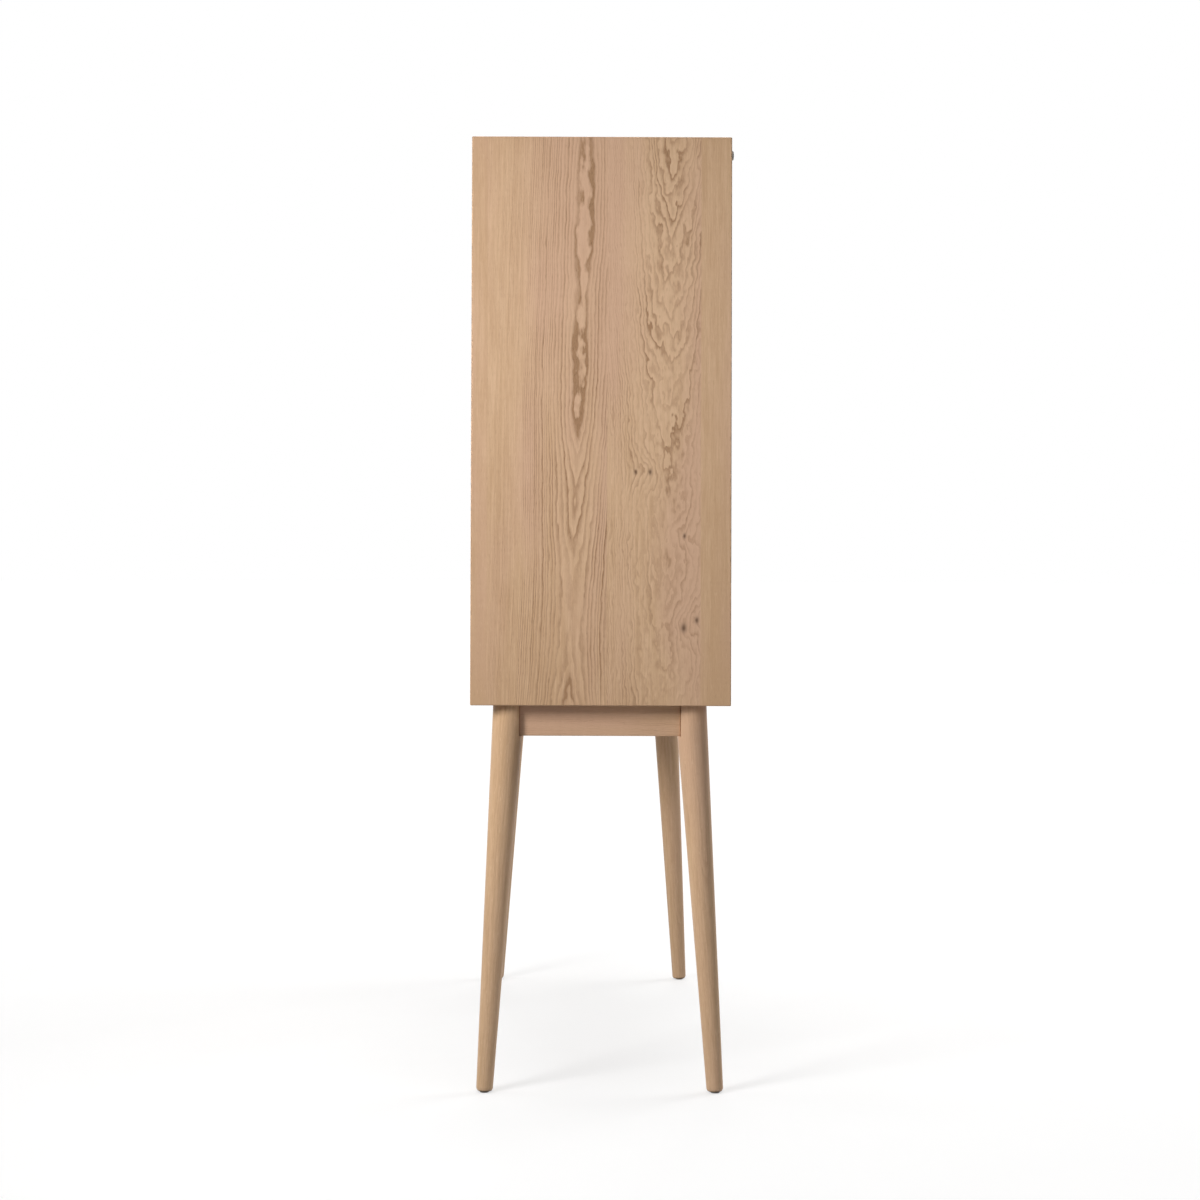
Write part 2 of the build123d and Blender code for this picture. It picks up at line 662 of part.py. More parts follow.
# ---------------------------------------------------------------- the whole cabinet
def build():
    nodes = {}
    splines, dowels = mitre_splines(), fixed_shelf_dowels()
    nodes.update(carcass(mitred_ring(), splines, dowels))
    nodes["back_panel"] = back_panel()
    nodes["fixed_shelf"] = fixed_shelf(dowels)
    nodes["mitre_splines"] = splines
    nodes["fixed_shelf_dowels"] = dowels
    nodes["shelf_lower"] = loose_shelf(SHELF_HEIGHTS[0])
    nodes["shelf_upper"] = loose_shelf(SHELF_HEIGHTS[1])
    nodes["shelf_pins"] = shelf_pins()

    frame_screws = bracket_screws()
    for name, s in SIDES.items():
        nodes["door_" + name] = door(s)
        door_screws = strike_screws(s)
        for place, z in HINGE_ZS.items():
            hinge = f"hinge_{name}_{place}"
            nodes[hinge + "_frame_leaf"] = hinge_leaf(s, z, on_door=False)
            nodes[hinge + "_door_leaf"] = hinge_leaf(s, z, on_door=True)
            door_screws += hinge_leaf_screws(s, z, on_door=True)
            frame_screws += hinge_leaf_screws(s, z, on_door=False)
        nodes[f"hinge_pins_{name}"] = [hinge_pin(s, z) for z in HINGE_ZS.values()]
        nodes[f"door_{name}_screws"] = cross_recessed(door_screws)
        nodes["catch_" + name] = catch_housing(s)
        nodes["strike_" + name] = strike_plate(s)
        frame_screws += catch_screws(s) + cabinet_rail_screws(s)
        rails = slide(s)
        for place, rail in zip(("cabinet", "middle", "drawer"), rails):
            nodes[f"slide_{name}_{place}_rail"] = rail
    nodes["catch_magnets"] = [magnet(s) for s in SIDES.values()]
    nodes["carcass_screws"] = cross_recessed(frame_screws)

    nodes.update(drawer_box())
    nodes["drawer_front"] = drawer_front()
    drawer_screws = drawer_front_screws() + drawer_rail_screws(-1) + drawer_rail_screws(1)
    nodes["drawer_screws"] = cross_recessed(drawer_screws)

    side_aprons = {name: apron("side", s) for name, s in SIDES.items()}
    long_aprons = {name: apron("long", s) for name, s in ENDS.items()}
    for side_name, sx in SIDES.items():
        nodes["apron_" + side_name] = side_aprons[side_name]
        for end_name, sy in ENDS.items():
            joined = (side_aprons[side_name], long_aprons[end_name])
            nodes[f"leg_{end_name}_{side_name}"] = leg(sx, sy, joined)
    for end_name, rail in long_aprons.items():
        nodes["apron_" + end_name] = rail
    bolts = frame_bolts()
    nodes["corner_blocks"] = corner_blocks(bolts)
    nodes["frame_bolts"] = cross_recessed(bolts, depth=2.0, slot=1.3)
    nodes["leg_glides"] = [glide(sx, sy) for sx in SIDES.values() for sy in ENDS.values()]

    nodes["wall_bumpers"] = [wall_bumper(s) for s in SIDES.values()]
    nodes["anti_tip_bracket"] = anti_tip_bracket()
    return nodes


def write(nodes):
    os.makedirs("parts", exist_ok=True)
    for name, shape in nodes.items():
        solids = []
        for piece in shape if isinstance(shape, list) else [shape]:
            solids += sorted_solids(piece)
        body = solids[0] if len(solids) == 1 else Compound(children=solids)
        export_step(body, f"parts/{name}.step")
    print(len(nodes), "nodes written")


write(build())
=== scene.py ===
"""Looks, light and camera for the pantry cabinet.  All sizes are metres in the CAD model's frame."""

import math

import bmesh
import bpy
from mathutils import Matrix, Vector


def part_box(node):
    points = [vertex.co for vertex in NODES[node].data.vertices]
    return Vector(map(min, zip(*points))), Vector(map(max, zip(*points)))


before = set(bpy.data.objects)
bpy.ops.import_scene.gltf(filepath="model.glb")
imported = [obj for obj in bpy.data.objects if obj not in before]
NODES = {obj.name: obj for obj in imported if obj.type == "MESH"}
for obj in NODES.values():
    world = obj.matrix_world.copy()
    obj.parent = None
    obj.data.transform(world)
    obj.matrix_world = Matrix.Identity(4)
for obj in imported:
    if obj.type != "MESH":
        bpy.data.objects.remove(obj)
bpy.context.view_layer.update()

MM = 0.001
X, Y, Z = Vector((1, 0, 0)), Vector((0, 1, 0)), Vector((0, 0, 1))


# ---------------------------------------------------------------- node graph helper
class Graph:
    """Builds a material's node graph from plain expressions."""

    def __init__(self, name):
        self.material = bpy.data.materials.new(name)
        self.material.use_nodes = True
        self.tree = self.material.node_tree
        self.tree.nodes.clear()

    def node(self, kind, inputs=None, **settings):
        """A new node with its inputs fed by name or number, and its settings made."""
        made = self.tree.nodes.new("ShaderNode" + kind)
        for key, value in settings.items():
            setattr(made, key, value)
        for key, value in (inputs or {}).items():
            self.feed(made.inputs[key], value)
        return made

    def feed(self, socket, value):
        """Links a socket to another one, or sets it to a number or colour."""
        if isinstance(value, bpy.types.NodeSocket):
            self.tree.links.new(value, socket)
        else:
            socket.default_value = value

    def math(self, operation, *values, clamp=False):
        """One Math node; values are numbers or sockets, and clamp keeps the result from 0 to 1."""
        made = self.node("Math", dict(enumerate(values)), operation=operation, use_clamp=clamp)
        return made.outputs[0]

    def add(self, *values):
        total = values[0]
        for value in values[1:]:
            total = self.math("ADD", total, value)
        return total

    def mul(self, a, b):
        return self.math("MULTIPLY", a, b)

    def sub(self, a, b):
        return self.math("SUBTRACT", a, b)

    def madd(self, a, b, c):
        """a times b, plus c."""
        return self.math("MULTIPLY_ADD", a, b, c)

    def remap(self, value, low, high, to_low=0.0, to_high=1.0, smooth=True):
        """Goes from to_low, where value is low or less, to to_high, where it is high or more."""
        made = self.node(
            "MapRange",
            {0: value, 1: low, 2: high, 3: to_low, 4: to_high},
            interpolation_type="SMOOTHSTEP" if smooth else "LINEAR",
        )
        return made.outputs[0]

    def vector(self, x, y, z):
        return self.node("CombineXYZ", {0: x, 1: y, 2: z}).outputs[0]

    def noise(self, vector, scale=1.0, detail=2.0, roughness=0.5):
        """Noise centred on 0, from about -0.5 to 0.5."""
        made = self.node(
            "TexNoise", {"Vector": vector, "Scale": scale, "Detail": detail, "Roughness": roughness}
        )
        return self.sub(made.outputs["Fac"], 0.5)

    def random(self, value):
        """A number from 0 to 1 that is another one for each value."""
        return self.node("TexWhiteNoise", {"W": value}, noise_dimensions="1D").outputs["Value"]

    def mix(self, factor, a, b):
        """A colour between a and b."""
        made = self.node("Mix", data_type="RGBA")
        self.feed(made.inputs["Factor"], factor)
        self.feed(made.inputs[6], a)
        self.feed(made.inputs[7], b)
        return made.outputs[2]

    def mix_vector(self, factor, a, b):
        """A vector between a and b."""
        made = self.node("Mix", data_type="VECTOR")
        self.feed(made.inputs["Factor"], factor)
        self.feed(made.inputs[4], a)
        self.feed(made.inputs[5], b)
        return made.outputs[1]

    def ramp(self, value, stops):
        """Straight lines between stops, each a place and a level from 0 to 1."""
        made = self.node("ValToRGB", {"Fac": value})
        elements = made.color_ramp.elements
        while len(elements) < len(stops):
            elements.new(0.5)
        for element, (place, level) in zip(elements, stops):
            element.position = place
            element.color = (level, level, level, 1)
        return made.outputs["Color"]

    def curve(self, value, points):
        """A smooth curve through points, value and points both from 0 to 1."""
        made = self.node("FloatCurve", {"Value": value})
        line = made.mapping.curves[0]
        while len(line.points) < len(points):
            line.points.new(0.5, 0.5)
        for point, place in zip(line.points, points):
            point.location = place
        made.mapping.update()
        return made.outputs[0]

    def split(self, vector):
        return self.node("SeparateXYZ", {0: vector}).outputs

    def position(self):
        """The point in the cabinet's own frame at rest, in millimetres."""
        coordinates = self.node("TexCoord").outputs["Object"]
        return self.node("VectorMath", {0: coordinates, "Scale": 1 / MM}, operation="SCALE").outputs[0]

    def along(self, point, direction, origin):
        """How far a point in millimetres lies from origin along a direction."""
        dot = self.node("VectorMath", {0: point, 1: tuple(direction)}, operation="DOT_PRODUCT")
        return self.sub(dot.outputs["Value"], origin.dot(direction) / MM)

    def surface(self, colour, roughness, height=None, height_mm=0.1, **fixed):
        """Ends the graph in a Principled surface, with bump from a height between 0 and 1."""
        shader = self.node("BsdfPrincipled", {"Base Color": colour, "Roughness": roughness})
        for key, value in fixed.items():
            shader.inputs[key.replace("_", " ")].default_value = value
        if height is not None:
            bump = self.node("Bump", {"Height": height, "Strength": 1.0, "Distance": height_mm * MM})
            self.feed(shader.inputs["Normal"], bump.outputs[0])
        output = self.node("OutputMaterial")
        self.tree.links.new(shader.outputs[0], output.inputs[0])
        return self.material


def colour(r, g, b):
    return (r, g, b, 1.0)


# ---------------------------------------------------------------- oak
LATEWOOD = colour(0.605, 0.408, 0.257)
HONEY = colour(0.480, 0.307, 0.173)
ROSY = colour(0.545, 0.346, 0.236)
EARLYWOOD = colour(0.315, 0.182, 0.098)
PORE = colour(0.210, 0.115, 0.060)
KNOT = colour(0.105, 0.056, 0.032)
RAY = colour(0.690, 0.490, 0.328)

# how much of its colour each feature shows where it is strongest
EARLYWOOD_SHARE = 0.66
PORE_SHARE = 0.62
RAY_SHARE = 0.28
KNOT_SHARE = 0.95
EDGE_SHARE = 0.32

OAK_TONE = 0.34          # how far plain oak lies from the latewood colour towards honey
OAK_RELIEF_MM = 0.11     # from the bottom of a pore to the hard latewood
LOG_STEP = 137.0         # moves a board with another seed to another part of the noise
KNOT_WIDTH = 0.62        # across the grain, for a length of 1 along it


class Strip:
    """One plank or veneer leaf: where it starts, and where its heart lies behind the face."""

    FIELDS = ("heart", "depth", "tilt", "ring", "waves", "tone", "jagged", "bold", "sharp")

    def __init__(
        self, start, heart, depth, tilt=0.0, ring=4.4, waves=0.4, tone=0.0, jagged=0.8, bold=1.0, sharp=14.0,
        change=61.0, lean=0.0,
    ):
        self.start = start        # from the board's edge, mm
        self.heart = heart        # centre line of the figure, from the board's edge, mm
        self.lean = lean          # how far the centre line moves over per millimetre along the grain
        self.depth = depth        # heart behind the face, mm
        self.tilt = tilt          # depth gained per millimetre along the grain
        self.ring = ring          # growth ring width, mm
        self.waves = waves        # how strongly the log wanders
        self.tone = tone          # darker above 0, paler below
        self.jagged = jagged      # how far the fibres zigzag, in rings
        self.bold = bold          # how dark the open earlywood is
        self.sharp = sharp        # how pointed the arches of the figure are, mm
        self.change = change      # any number: another one gives another log


def strip_values(g, u, strips):
    """The fields of the strip that a point lies in, by name, and log, a number for its log."""
    edges = [g.math("GREATER_THAN", u, strip.start) for strip in strips[1:]]
    values = {}
    for k in range(0, len(Strip.FIELDS), 3):
        names = Strip.FIELDS[k:k + 3]
        triple = g.vector(*(getattr(strips[0], name) for name in names))
        for edge, strip in zip(edges, strips[1:]):
            triple = g.mix_vector(edge, triple, tuple(getattr(strip, name) for name in names))
        values.update(zip(names, g.split(triple)))
    lean = strips[0].lean
    log = 0.0
    for edge, strip in zip(edges, strips[1:]):
        lean = g.madd(edge, g.sub(strip.lean, lean), lean)
        log = g.add(log, g.mul(edge, strip.change))
    return values | {"lean": lean, "log": log}


class Log:
    """The place of a point in its log, and noise that is drawn out along the grain."""

    def __init__(self, g, u, d, w, shift):
        self.g = g
        self.u = u                # across the board, mm
        self.d = d                # out from its face, mm
        self.w = w                # along the grain, mm
        self.shift = shift        # any number: another one gives another log

    def noise(self, across, along, detail, roughness=0.5, layer=0.0, deep=None, bend=None):
        """Noise with so many waves per millimetre across, along and, if it differs, into the board.

        Another layer gives other noise in the same log, and bend takes the place of u.
        """
        g = self.g
        place = g.vector(
            g.mul(bend or self.u, across),
            g.madd(self.w, along, g.add(self.shift, layer)),
            g.mul(self.d, deep or across),
        )
        return g.noise(place, 1.0, detail, roughness)


def growth_rings(g, log, strip, depth_curve):
    """The number of rings from the heart, the zigzag of the fibres, and 1 where flat sawn."""
    heart = g.madd(strip["lean"], log.w, strip["heart"])
    wander_u = g.mul(log.noise(0.004, 0.0042, 2.0), g.mul(strip["waves"], 34.0))
    wander_d = g.mul(log.noise(0.006, 0.0065, 3.0, 0.55, layer=31.0), g.mul(strip["waves"], 30.0))
    zigzag = g.mul(log.noise(0.080, 0.031, 2.4, 0.55), strip["jagged"])
    off = g.math("ABSOLUTE", g.add(log.u, g.mul(heart, -1.0), wander_u))
    from_heart = g.add(off, strip["sharp"], g.mul(g.mul(off, off), 0.006))
    depth = g.add(strip["depth"], g.mul(log.d, -1.0), g.mul(strip["tilt"], log.w), wander_d)
    if depth_curve:
        depth = g.add(depth, depth_curve(g, log.u, log.w))
    radius = g.math("SQRT", g.add(g.mul(from_heart, from_heart), g.mul(depth, depth)))
    flat_sawn = g.remap(g.math("DIVIDE", depth, radius), 0.25, 0.95)
    rings = g.math("DIVIDE", radius, strip["ring"])
    uneven = g.noise(g.vector(g.mul(rings, 0.33), log.shift, 0.0), 1.0, 1.0)
    rings = g.add(rings, g.mul(uneven, 2.4), g.mul(zigzag, 2.0))
    return rings, zigzag, flat_sawn


def bend_round_knots(g, log, rings, knots):
    """The rings bent round each knot, and 1 in the core of a knot."""
    cores = 0.0
    for knot_u, knot_w, size in knots:
        off_u = g.mul(g.sub(log.u, knot_u), 1.0 / size)
        off_w = g.mul(g.sub(log.w, knot_w), KNOT_WIDTH / size)
        square = g.add(g.mul(off_u, off_u), g.mul(off_w, off_w))
        near = g.math("EXPONENT", g.mul(square, -0.045))
        core = g.math("EXPONENT", g.mul(square, -1.6))
        rings = g.madd(near, 1.9, rings)
        cores = g.add(cores, core)
    return rings, cores


def open_earlywood(g, log, strip, rings, flat_sawn):
    """How open the wood is: each ring starts with open earlywood and ends in dense latewood."""
    profile = [(0.0, 0.50), (0.08, 1.0), (0.26, 0.70), (0.50, 0.20), (0.88, 0.0), (1.0, 0.50)]
    early = g.ramp(g.math("FRACT", rings), profile)
    which = g.math("FLOOR", rings)
    ring_strength = g.madd(g.random(g.madd(log.shift, 0.71, which)), 0.80, 0.35)
    patchy = g.remap(log.noise(0.035, 0.008, 3.0, 0.6, layer=5.0), -0.20, 0.20, 0.40, 1.25)
    early = g.mul(g.mul(early, ring_strength), g.mul(patchy, g.add(flat_sawn, 0.55)))
    return g.mul(early, strip["bold"])


def edge_tone(g, point, box, streaks):
    """1 along a board's edges, fading within two millimetres, where the board is painted darker."""
    near = []
    for value, low, high in zip(g.split(point), box[0], box[1]):
        near.append(g.math("MINIMUM", g.sub(value, low / MM), g.sub(high / MM, value)))
    a, b, c = near
    middle = g.math(
        "MAXIMUM", g.math("MINIMUM", a, b), g.math("MINIMUM", g.math("MAXIMUM", a, b), c)
    )
    return g.remap(g.madd(streaks, 1.6, middle), 0.2, 2.2, 1.0, 0.0)


def oak(
    name, origin, grain, across, strips,
    box=None, seed=0.0, depth_curve=None, fade=None, blush=None, knots=(), tone=0.0, pink=0.55,
):
    """Oiled oak cut from logs that run along the grain direction.

    Places are measured from origin, along grain and across.  The optional depth_curve, fade
    and blush are functions of a point's place, which add to the heart's depth, the tone and the pink;
    fade darkens the tone as painted shade, where the light on the board falls off.
    """
    g = Graph(name)
    point = g.position()
    u = g.along(point, across, origin)
    d = g.along(point, across.cross(grain), origin)
    w = g.along(point, grain, origin)
    strip = strip_values(g, u, strips)
    log = Log(g, u, d, w, g.add(strip["log"], seed * LOG_STEP))

    rings, zigzag, flat_sawn = growth_rings(g, log, strip, depth_curve)
    rings, knot_cores = bend_round_knots(g, log, rings, knots)
    early = open_earlywood(g, log, strip, rings, flat_sawn)

    # fibres: short streaks along the grain, in two sizes, bent the way the rings are
    bend = g.madd(zigzag, 5.0, u)
    coarse = log.noise(0.27, 0.010, 3.0, 0.62, bend=bend)
    fine = log.noise(0.95, 0.030, 2.0, 0.6, layer=17.0, bend=bend)
    streaks = g.add(g.mul(coarse, 0.72), g.mul(fine, 0.62))

    # pores: dashes along the grain, thickest in the earlywood
    pores = g.remap(log.noise(1.9, 0.10, 2.0, 0.62, bend=bend), 0.04, 0.18)
    pores = g.mul(pores, g.madd(early, 0.85, 0.20))

    # medullary rays, which show as short pale dashes
    rays = g.remap(log.noise(0.75, 0.085, 1.0, 0.4, layer=9.0, deep=0.3), 0.14, 0.28)

    # slow changes of tone and of pink from one part of the board to another
    broad = log.noise(0.021, 0.0016, 2.0, deep=0.02)
    rosy = g.remap(log.noise(0.012, 0.0022, 2.0, layer=3.0, deep=0.01), -0.12, 0.2)

    body = g.add(g.mul(streaks, 2.5), g.mul(broad, 0.9), strip["tone"], OAK_TONE + tone)
    # painted shade: a darker tone where the light on the board falls off
    if fade:
        body = g.add(body, fade(g, u, w))
    base = g.mix(g.math("ADD", body, 0.0, clamp=True), LATEWOOD, HONEY)
    if blush:
        rosy = g.math("ADD", rosy, blush(g, u, w), clamp=True)
    base = g.mix(g.mul(rosy, pink), base, ROSY)
    base = g.mix(g.math("MULTIPLY", early, EARLYWOOD_SHARE, clamp=True), base, EARLYWOOD)
    base = g.mix(g.mul(pores, PORE_SHARE), base, PORE)
    base = g.mix(g.mul(rays, RAY_SHARE), base, RAY)
    if knots:
        base = g.mix(g.math("MULTIPLY", knot_cores, KNOT_SHARE, clamp=True), base, KNOT)
    if box:
        base = g.mix(g.mul(edge_tone(g, point, box, streaks), EDGE_SHARE), base, EARLYWOOD)

    roughness = g.add(0.50, g.mul(pores, 0.22), g.mul(streaks, 0.12))
    height = g.add(0.6, g.mul(pores, -0.55), g.mul(early, -0.18), g.mul(streaks, 0.16))
    return g.surface(base, roughness, height, OAK_RELIEF_MM, Specular_IOR_Level=0.36)


# ---------------------------------------------------------------- assigning
def paint(node, material):
    slots = NODES[node].data.materials
    slots.clear()
    slots.append(material)


def board(node, grain, across, strips, **more):
    """Oak for a flat board; strips are measured from its low corner."""
    low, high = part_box(node)
    paint(node, oak("oak_" + node, low, grain, across, strips, box=(low, high), **more))


SIDE_HEIGHT = (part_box("side_panel_right")[1].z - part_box("side_panel_right")[0].z) / MM

# the visible side has a plain leaf along its front edge, two leaves with a flame each, and a plain
# one along its back edge; the last three start here, in mm from the front edge
FIRST_FLAME = 25.0
SECOND_FLAME = 209.0
BACK_LEAF = 353.0

FIRST_FLAME_DEPTH = 40.0     # mm that the heart lies deeper for a 1 in the flame's curve
SECOND_FLAME_DEPTH = 74.0
BLUSH_CENTRE = 165.0         # middle of the pink, in mm from the front edge


def side_share(g, w):
    """0 at the foot of the visible side and 1 at its top."""
    return g.remap(w, 0.0, SIDE_HEIGHT, 0.0, 1.0, smooth=False)


def side_depth(g, u, w):
    """Depth added to the hearts of the visible side's two flames, which changes up its height."""
    share = side_share(g, w)
    first = g.curve(share, [
        (0.0, 0.55), (0.047, 0.64), (0.12, 0.72), (0.247, 0.66), (0.341, 0.545), (0.441, 0.43),
        (0.494, 0.33), (0.54, 0.30), (0.75, 0.28), (0.90, 0.26), (1.0, 0.29),
    ])
    second = g.curve(share, [
        (0.0, 1.0), (0.1, 0.90), (0.2, 0.84), (0.35, 0.80), (0.48, 0.74), (0.74, 0.40), (1.0, 0.0),
    ])
    parts = []
    for most, curve, start, stop in (
        (FIRST_FLAME_DEPTH, first, FIRST_FLAME, SECOND_FLAME),
        (SECOND_FLAME_DEPTH, second, SECOND_FLAME, BACK_LEAF),
    ):
        inside = g.mul(g.math("GREATER_THAN", u, start), g.math("LESS_THAN", u, stop))
        parts.append(g.mul(g.mul(curve, most), inside))
    return g.add(*parts)


def side_fade(g, u, w):
    """Painted shade: the visible side is painted darker towards its top and its foot, where the light falls
    off, and is also a little darker near its front edge.
    """
    ends = g.curve(side_share(g, w), [
        (0.0, 0.55), (0.22, 0.28), (0.5, 0.12), (0.72, 0.0), (0.86, 0.06), (1.0, 0.62),
    ])
    front = g.remap(u, 10.0, 130.0, 1.0, 0.0)
    return g.madd(front, 0.20, ends)


def side_blush(g, u, w):
    """The upper part of the first flame is pinker than the rest of the visible side."""
    near = g.remap(g.math("ABSOLUTE", g.sub(u, BLUSH_CENTRE)), 20.0, 120.0, 1.0, 0.0)
    high = g.remap(w, 350.0, 760.0)
    return g.madd(g.mul(near, high), 0.85, 0.10)


board(
    "side_panel_right", Z, Y,
    [
        Strip(0, -120, 50, ring=3.6, waves=0.3, tone=0.04, bold=0.7),
        Strip(
            FIRST_FLAME, 150, 84.6, ring=4.6, waves=0.22, tone=-0.16, jagged=0.55, bold=1.22, sharp=20,
            lean=0.031,
        ),
        Strip(
            SECOND_FLAME, 299, 70, ring=5.6, waves=0.25, tone=-0.28, jagged=1.5, bold=0.84, sharp=8,
            lean=0.012, change=40.2,
        ),
        Strip(BACK_LEAF, 470, 40, ring=3.2, waves=0.3, tone=0.18, bold=0.6),
    ],
    # side_fade paints shade onto the top and the foot of the visible side
    seed=0.18, depth_curve=side_depth, fade=side_fade, blush=side_blush, pink=0.78,
    knots=((253, 358, 2.9), (275, 358, 3.4), (328, 260, 3.0), (327, 119, 5.0), (347, 131, 3.8)),
)
board(
    "side_panel_left", Z, Y,
    [
        Strip(0, 60, 74, tilt=0.045, tone=0.04),
        Strip(128, 216, 82, tilt=-0.060, jagged=1.0, sharp=18),
        Strip(300, 430, 70, ring=3.6, bold=0.7, tone=0.08),
    ],
    seed=0.41,
)
board(
    "top_panel", X, Y,
    [
        Strip(0, 76, 70, tilt=0.050),
        Strip(150, 226, 84, tilt=-0.055, jagged=1.0, sharp=18, tone=0.04),
        Strip(310, 420, 60, ring=3.6, bold=0.7),
    ],
    seed=0.57,
)
board(
    "bottom_panel", X, Y,
    [Strip(0, 110, 70, tilt=0.04), Strip(210, 300, 66, tilt=-0.04)],
    seed=0.71,
)
board(
    "back_panel", Z, X,
    [
        Strip(0, 96, 78, tilt=0.05, sharp=18),
        Strip(205, 330, 70, tilt=-0.04, bold=0.8, tone=0.05),
        Strip(436, 540, 86, tilt=0.06, jagged=1.0),
        Strip(655, 770, 72, tilt=-0.05, sharp=18, tone=0.03),
    ],
    seed=0.83,
)
board("fixed_shelf", X, Y, [Strip(0, 120, 70, tilt=0.04), Strip(190, 260, 66, tilt=-0.04)], seed=0.29)
board("shelf_lower", X, Y, [Strip(0, 90, 74, tilt=0.04), Strip(180, 265, 64, tilt=-0.05)], seed=0.37)
board("shelf_upper", X, Y, [Strip(0, 130, 70, tilt=-0.05), Strip(200, 240, 76, tilt=0.04)], seed=0.91)
board(
    "door_left", Z, X,
    [
        Strip(0, 84, 84, tilt=-0.060, sharp=18, jagged=0.9),
        Strip(150, 222, 74, tilt=0.035, ring=3.8, bold=0.7, tone=0.05),
        Strip(288, 352, 80, tilt=-0.070, jagged=1.0),
    ],
    seed=0.19,
)
board(
    "door_right", Z, X,
    [
        Strip(0, 70, 80, tilt=-0.070, jagged=1.0, tone=0.02),
        Strip(136, 190, 72, tilt=0.035, ring=3.8, bold=0.7),
        Strip(270, 342, 86, tilt=-0.060, sharp=18, jagged=0.9, tone=0.04),
    ],
    seed=0.23,
)
board("drawer_front", X, Z, [Strip(0, 84, 70, tilt=0.050, sharp=18)], seed=0.67)
for end, seed in (("front", 0.33), ("back", 0.47)):
    rail = Strip(0, -70, 60, tilt=0.008, waves=0.35, ring=3.4, bold=0.8)
    board("apron_" + end, X, Z, [rail], seed=seed, tone=0.34)
# painted shade: the side aprons are painted darker than the end ones, for the shade under the overhang of
# the side panels
for side, seed in (("left", 0.59), ("right", 0.79)):
    rail = Strip(0, -64, 62, tilt=0.03, waves=0.5, ring=3.4, bold=0.8)
    board("apron_" + side, Y, Z, [rail], seed=seed, tone=0.50, pink=1.0)
board("corner_blocks", Z, X, [Strip(0, 300, 80)], seed=0.97, tone=0.05)

# the ends of a leg's axis: how far out from the cabinet's middle, and how high
LEG_TOP = Vector((0.4030, 0.1410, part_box("leg_front_left")[1].z))
LEG_FOOT = Vector((0.4630, 0.1755, 0.0))
MIDDLE = (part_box("top_panel")[0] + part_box("top_panel")[1]) / 2
LEG_TURN = 0.6           # turns each leg's log a little round its axis

# each leg has its own log; the back legs are pinker, and the left ones are painted a little darker, as
# painted shade for the legs on the side of the cabinet away from the key lamp
for end, sy in (("front", -1), ("back", 1)):
    for side, sx in (("left", -1), ("right", 1)):
        node = f"leg_{end}_{side}"
        foot, top = (
            Vector((sx * place.x, MIDDLE.y + sy * place.y, place.z)) for place in (LEG_FOOT, LEG_TOP)
        )
        up = (top - foot).normalized()
        over = Y.cross(up).normalized()
        over = (over + LEG_TURN * sy * up.cross(over)).normalized()
        log = [Strip(0, 130, 70 + 9 * sx, tilt=0.012 * sy, ring=3.2, waves=0.3, jagged=0.4, bold=0.5)]
        seed = 0.11 * sx + 0.23 * sy + 0.5
        pink = 0.35 + 0.25 * sy
        # painted shade: the left legs get a darker tone
        tone = 0.30 - 0.06 * sx
        paint(node, oak("oak_" + node, foot, up, over, log, seed=seed, tone=tone, pink=pink))


# ---------------------------------------------------------------- birch
BIRCH = colour(0.640, 0.475, 0.315)
BIRCH_DARK = colour(0.500, 0.345, 0.210)


def birch(node, grain, across):
    """Close-grained birch, with fine lines and short darker flecks along the grain."""
    g = Graph("birch_" + node)
    point = g.position()
    low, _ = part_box(node)
    u = g.along(point, across, low)
    d = g.along(point, across.cross(grain), low)
    w = g.along(point, grain, low)
    seed = 0.1 * len(node)
    wave = g.noise(g.vector(g.mul(u, 0.02), g.madd(w, 0.004, seed * 91), g.mul(d, 0.02)), 1.0, 2.0)
    line_at = g.vector(g.madd(wave, 3.0, g.mul(u, 0.3)), g.mul(w, 0.006), g.mul(d, 0.3))
    lines = g.noise(line_at, 1.0, 4.0, 0.62)
    fleck_at = g.vector(g.mul(u, 1.3), g.mul(w, 0.28), g.mul(d, 1.3))
    flecks = g.remap(g.noise(fleck_at, 1.0, 1.0), 0.14, 0.3)
    tone = g.math("ADD", g.madd(lines, 1.5, 0.4), g.mul(wave, 0.7), clamp=True)
    base = g.mix(tone, BIRCH, BIRCH_DARK)
    base = g.mix(g.mul(flecks, 0.25), base, BIRCH_DARK)
    roughness = g.madd(lines, 0.15, 0.45)
    height = g.madd(lines, 0.5, g.mul(flecks, -0.2))
    return g.surface(base, roughness, height, 0.05, Specular_IOR_Level=0.38)


for node, grain, across in (
    ("drawer_side_left", Y, Z), ("drawer_side_right", Y, Z),
    ("drawer_box_front", X, Z), ("drawer_box_back", X, Z),
    ("drawer_bottom", X, Y), ("mitre_splines", Y, X), ("fixed_shelf_dowels", X, Y),
):
    paint(node, birch(node, grain, across))


# ---------------------------------------------------------------- metals and plastics
def darker(tint, share):
    return tuple(share * c for c in tint[:3]) + (1.0,)


def metal(name, tint, roughness, brushed_along=None, mottled=0.0):
    """Plated or brushed metal with fine scratches and dulling; brushed_along is an axis, 0 to 2."""
    g = Graph(name)
    point = g.position()
    scales = [9.0, 9.0, 9.0]
    if brushed_along is not None:
        scales[brushed_along] = 0.25
    scratch_at = g.vector(*(g.mul(place, scale) for place, scale in zip(g.split(point), scales)))
    scratches = g.noise(scratch_at, 1.0, 3.0, 0.65)
    cloud = g.noise(point, 0.16, 3.0, 0.6)
    dulling = g.math("ADD", g.madd(cloud, 1.1 + mottled, 0.3), g.mul(scratches, 0.3), clamp=True)
    base = g.mix(dulling, tint, darker(tint, 0.72))
    rough = g.add(roughness, g.mul(scratches, 0.16), g.mul(cloud, 0.2))
    return g.surface(base, rough, g.madd(scratches, 0.6, 0.5), 0.012, Metallic=1.0)


